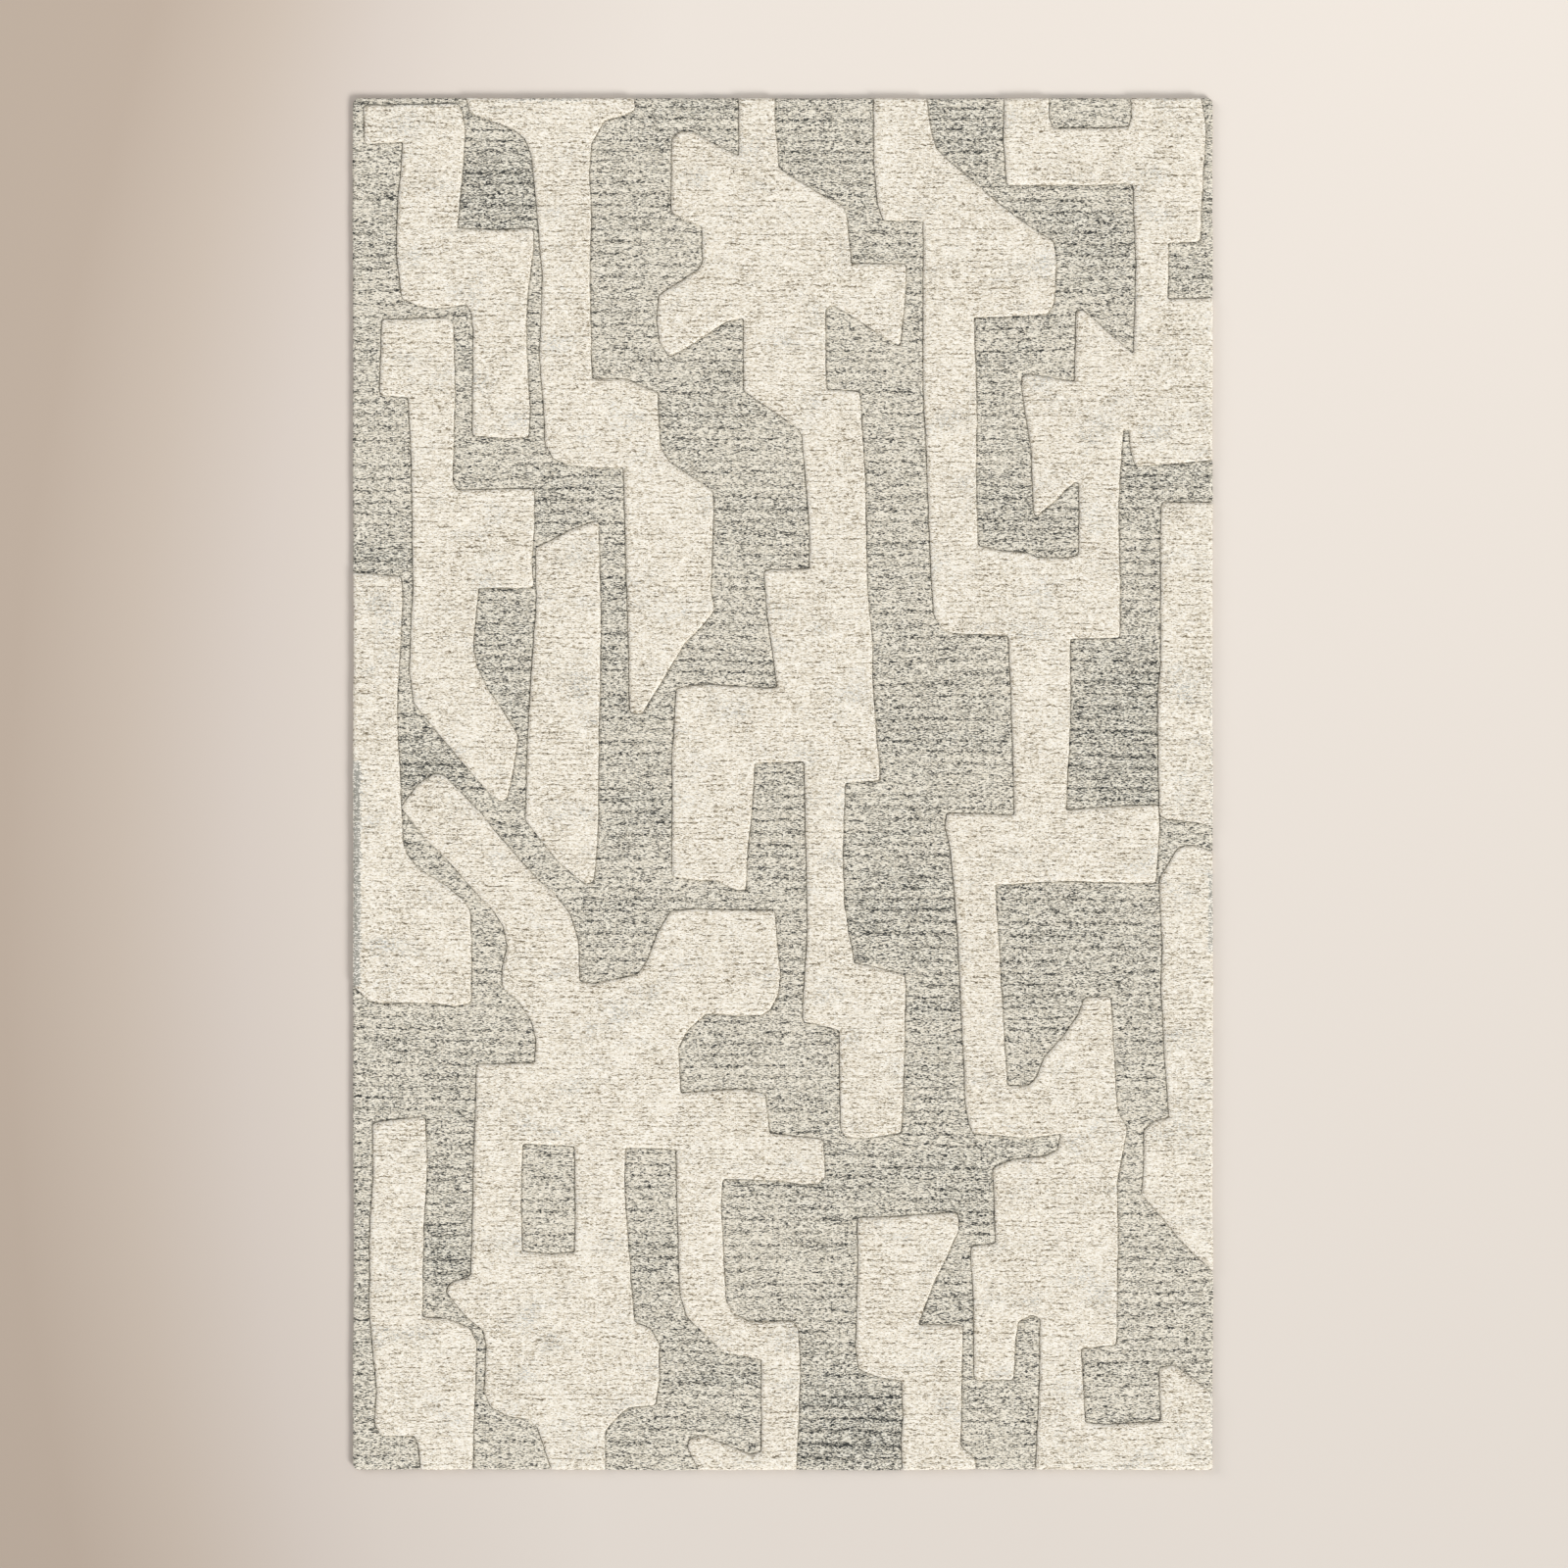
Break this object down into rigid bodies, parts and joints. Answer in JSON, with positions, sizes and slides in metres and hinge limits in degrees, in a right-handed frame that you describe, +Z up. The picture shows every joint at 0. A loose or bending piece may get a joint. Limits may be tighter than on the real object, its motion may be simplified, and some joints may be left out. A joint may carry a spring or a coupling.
{
  "type": "area rug",
  "caption": "Rectangular hand-tufted area rug with a raised cream block pattern carved above a lower grey heather ground, and a hemmed cloth back.",
  "frame": {"origin": "middle of the underside, on the floor", "axes": "+X across the width, +Y along the length towards the head end of the pattern, +Z up through the pile"},
  "size_m": [1.524, 2.438, 0.014],
  "materials": {
    "cotton_canvas_backing": "plain weave, matte",
    "cotton_thread": "twisted thread, matte",
    "cotton_scrim": "open net, matte",
    "latex_adhesive": "dried latex coat, dull",
    "cotton_tufting_cloth": "plain weave, matte",
    "heather_wool_pile": "tufted pile, mixed cream and grey yarn, matte",
    "cream_wool_pile": "tufted pile, matte"
  },
  "bodies": {
    "root": {"backing_cloth": "cotton_canvas_backing", "backing_whip_stitch": "cotton_thread", "scrim_net": "cotton_scrim", "latex_adhesive_coat": "latex_adhesive", "tufting_cloth_with_hem": "cotton_tufting_cloth", "heather_pile_main_ground": "heather_wool_pile", "heather_pile_left_ground": "heather_wool_pile", "heather_pile_upper_right_ground": "heather_wool_pile", "heather_pile_top_edge_block": "heather_wool_pile", "heather_pile_right_edge_upper": "heather_wool_pile", "heather_pile_right_middle_ground": "heather_wool_pile", "heather_pile_right_lower_ground": "heather_wool_pile", "heather_pile_lower_middle_ground": "heather_wool_pile", "heather_pile_lower_left_window": "heather_wool_pile", "cream_pile_upper_left_stem": "cream_wool_pile", "cream_pile_left_centre_tree": "cream_wool_pile", "cream_pile_left_stem": "cream_wool_pile", "cream_pile_left_edge_block": "cream_wool_pile", "cream_pile_left_bar": "cream_wool_pile", "cream_pile_centre_tree": "cream_wool_pile", "cream_pile_right_tree": "cream_wool_pile", "cream_pile_right_edge_middle": "cream_wool_pile", "cream_pile_right_edge_lower": "cream_wool_pile", "cream_pile_lower_left_tree": "cream_wool_pile", "cream_pile_lower_left_bar": "cream_wool_pile", "cream_pile_lower_centre_block": "cream_wool_pile"}
  },
  "joints": []
}
